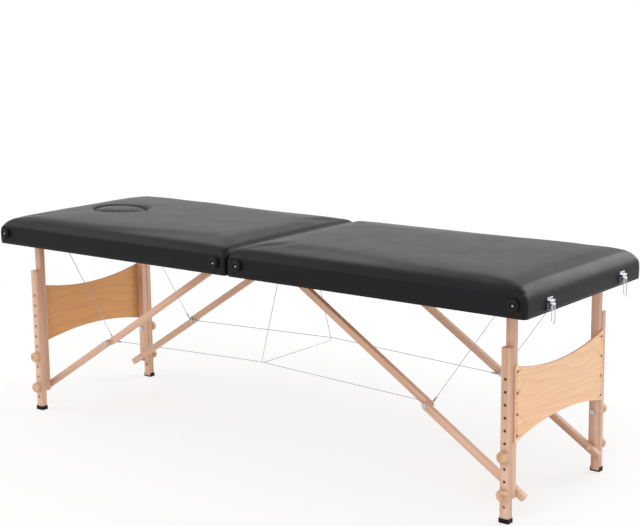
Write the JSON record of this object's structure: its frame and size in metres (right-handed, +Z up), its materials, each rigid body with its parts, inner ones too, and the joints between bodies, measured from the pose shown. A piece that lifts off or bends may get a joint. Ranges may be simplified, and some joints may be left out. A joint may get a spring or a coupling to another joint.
{
  "type": "massage table",
  "caption": "Portable massage table that folds in half like a case: padded top with face hole and plug, wooden adjustable legs, folding braces, stay cables and draw latches.",
  "frame": {"origin": "on the floor under the middle of the table", "axes": "+X towards the foot end with the latches, +Y towards the side with the carry strap, +Z up"},
  "size_m": [1.8413, 0.662, 0.615],
  "materials": {
    "cover": "satin",
    "beech": "satin lacquer",
    "plywood": "satin lacquer",
    "board": "raw",
    "rubber": "matt",
    "steel": "zinc plated",
    "chrome": "bright",
    "webbing": "woven"
  },
  "bodies": {
    "foot_half": {"foot_pad": "cover", "foot_cover_skirt": "cover", "foot_board": "board", "foot_rails": "beech", "foot_pivot_blocks": "beech", "foot_pivot_bolts": "steel", "foot_side_bumpers": "rubber", "foot_bumper_screws": "steel", "foot_hinge_leaves": "steel", "foot_cable_eyes": "steel", "foot_latch_plates": "chrome", "carry_handle": "webbing"},
    "hinge_and_cables": {"centre_hinge_pins": "steel", "foot_cables": "steel", "head_cables": "steel"},
    "head_half": {"head_pad": "cover", "head_cover_skirt": "cover", "head_board": "board", "head_rails": "beech", "head_pivot_blocks": "beech", "head_pivot_bolts": "steel", "head_side_bumpers": "rubber", "head_bumper_screws": "steel", "head_hinge_leaves": "steel", "head_cable_eyes": "steel", "head_latch_strikes": "chrome"},
    "face_plug": {"face_plug": "cover"},
    "foot_leg_frame": {"foot_upper_legs": "beech", "foot_end_panel": "plywood", "foot_panel_screws": "steel", "foot_lower_legs": "beech", "foot_leg_feet": "rubber", "foot_clamp_bolts": "steel"},
    "foot_upper_brace": {"foot_upper_braces": "beech", "foot_knee_bolts": "steel"},
    "foot_lower_brace": {"foot_lower_braces": "beech", "foot_knee_nuts": "steel"},
    "foot_near_low_knob": {"foot_near_low_knob": "beech"},
    "foot_near_high_knob": {"foot_near_high_knob": "beech"},
    "foot_far_low_knob": {"foot_far_low_knob": "beech"},
    "foot_far_high_knob": {"foot_far_high_knob": "beech"},
    "head_leg_frame": {"head_upper_legs": "beech", "head_end_panel": "plywood", "head_panel_screws": "steel", "head_lower_legs": "beech", "head_leg_feet": "rubber", "head_clamp_bolts": "steel"},
    "head_upper_brace": {"head_upper_braces": "beech", "head_knee_bolts": "steel"},
    "head_lower_brace": {"head_lower_braces": "beech", "head_knee_nuts": "steel"},
    "head_near_low_knob": {"head_near_low_knob": "beech"},
    "head_near_high_knob": {"head_near_high_knob": "beech"},
    "head_far_low_knob": {"head_far_low_knob": "beech"},
    "head_far_high_knob": {"head_far_high_knob": "beech"},
    "near_latch_lever": {"near_latch_lever": "chrome"},
    "near_latch_bail": {"near_latch_bail": "chrome"},
    "far_latch_lever": {"far_latch_lever": "chrome"},
    "far_latch_bail": {"far_latch_bail": "chrome"}
  },
  "joints": [
    {"name": "fold_close", "type": "hinge", "parent": "foot_half", "child": "hinge_and_cables", "pos_m": [0, 0, 0.522], "axis": [0, -1, 0], "range_deg": [0, 60], "deforming": ["foot_cables", "head_cables"]},
    {"name": "fold_open", "type": "hinge", "parent": "hinge_and_cables", "child": "head_half", "pos_m": [0, 0, 0.522], "axis": [0, -1, 0], "range_deg": [0, 120], "deforming": ["foot_cables", "head_cables"]},
    {"name": "face_plug_lift", "type": "slide", "parent": "head_half", "child": "face_plug", "axis": [0, 0, 1], "range_m": [0, 0.12]},
    {"name": "foot_leg_fold", "type": "hinge", "parent": "foot_half", "child": "foot_leg_frame", "pos_m": [0.828, 0, 0.545], "axis": [0, 1, 0], "range_deg": [0, 90]},
    {"name": "foot_upper_brace_fold", "type": "hinge", "parent": "foot_half", "child": "foot_upper_brace", "pos_m": [0.075, 0, 0.558], "axis": [0, -1, 0], "range_deg": [0, 32.79]},
    {"name": "foot_lower_brace_fold", "type": "hinge", "parent": "foot_leg_frame", "child": "foot_lower_brace", "pos_m": [0.828, 0, 0.073], "axis": [0, 1, 0], "range_deg": [0, 54.79]},
    {"name": "foot_near_low_knob_turn", "type": "hinge", "parent": "foot_leg_frame", "child": "foot_near_low_knob", "pos_m": [0.828, -0.255, 0.073], "axis": [0, -1, 0], "continuous": true},
    {"name": "foot_near_high_knob_turn", "type": "hinge", "parent": "foot_leg_frame", "child": "foot_near_high_knob", "pos_m": [0.828, -0.255, 0.169], "axis": [0, -1, 0], "continuous": true},
    {"name": "foot_far_low_knob_turn", "type": "hinge", "parent": "foot_leg_frame", "child": "foot_far_low_knob", "pos_m": [0.828, 0.255, 0.073], "axis": [0, 1, 0], "continuous": true},
    {"name": "foot_far_high_knob_turn", "type": "hinge", "parent": "foot_leg_frame", "child": "foot_far_high_knob", "pos_m": [0.828, 0.255, 0.169], "axis": [0, 1, 0], "continuous": true},
    {"name": "head_leg_fold", "type": "hinge", "parent": "head_half", "child": "head_leg_frame", "pos_m": [-0.828, 0, 0.545], "axis": [0, -1, 0], "range_deg": [0, 90]},
    {"name": "head_upper_brace_fold", "type": "hinge", "parent": "head_half", "child": "head_upper_brace", "pos_m": [-0.075, 0, 0.558], "axis": [0, 1, 0], "range_deg": [0, 32.79]},
    {"name": "head_lower_brace_fold", "type": "hinge", "parent": "head_leg_frame", "child": "head_lower_brace", "pos_m": [-0.828, 0, 0.073], "axis": [0, -1, 0], "range_deg": [0, 54.79]},
    {"name": "head_near_low_knob_turn", "type": "hinge", "parent": "head_leg_frame", "child": "head_near_low_knob", "pos_m": [-0.828, -0.255, 0.073], "axis": [0, -1, 0], "continuous": true},
    {"name": "head_near_high_knob_turn", "type": "hinge", "parent": "head_leg_frame", "child": "head_near_high_knob", "pos_m": [-0.828, -0.255, 0.169], "axis": [0, -1, 0], "continuous": true},
    {"name": "head_far_low_knob_turn", "type": "hinge", "parent": "head_leg_frame", "child": "head_far_low_knob", "pos_m": [-0.828, 0.255, 0.073], "axis": [0, 1, 0], "continuous": true},
    {"name": "head_far_high_knob_turn", "type": "hinge", "parent": "head_leg_frame", "child": "head_far_high_knob", "pos_m": [-0.828, 0.255, 0.169], "axis": [0, 1, 0], "continuous": true},
    {"name": "near_latch_lever_swing", "type": "hinge", "parent": "foot_half", "child": "near_latch_lever", "pos_m": [0.916, -0.188, 0.552], "axis": [0, -1, 0], "range_deg": [0, 90]},
    {"name": "near_latch_bail_swing", "type": "hinge", "parent": "near_latch_lever", "child": "near_latch_bail", "pos_m": [0.9209, -0.188, 0.544], "axis": [0, -1, 0], "range_deg": [0, 60]},
    {"name": "far_latch_lever_swing", "type": "hinge", "parent": "foot_half", "child": "far_latch_lever", "pos_m": [0.916, 0.188, 0.552], "axis": [0, -1, 0], "range_deg": [0, 90]},
    {"name": "far_latch_bail_swing", "type": "hinge", "parent": "far_latch_lever", "child": "far_latch_bail", "pos_m": [0.9209, 0.188, 0.544], "axis": [0, -1, 0], "range_deg": [0, 60]}
  ],
  "couplings": [
    {"joint": "foot_leg_fold", "follows": "fold_open", "ratio": 0.75},
    {"joint": "foot_upper_brace_fold", "follows": "fold_open", "ratio": 0.27321},
    {"joint": "foot_lower_brace_fold", "follows": "fold_open", "ratio": 0.4566},
    {"joint": "head_leg_fold", "follows": "fold_open", "ratio": 0.75},
    {"joint": "head_upper_brace_fold", "follows": "fold_open", "ratio": 0.27321},
    {"joint": "head_lower_brace_fold", "follows": "fold_open", "ratio": 0.4566}
  ]
}
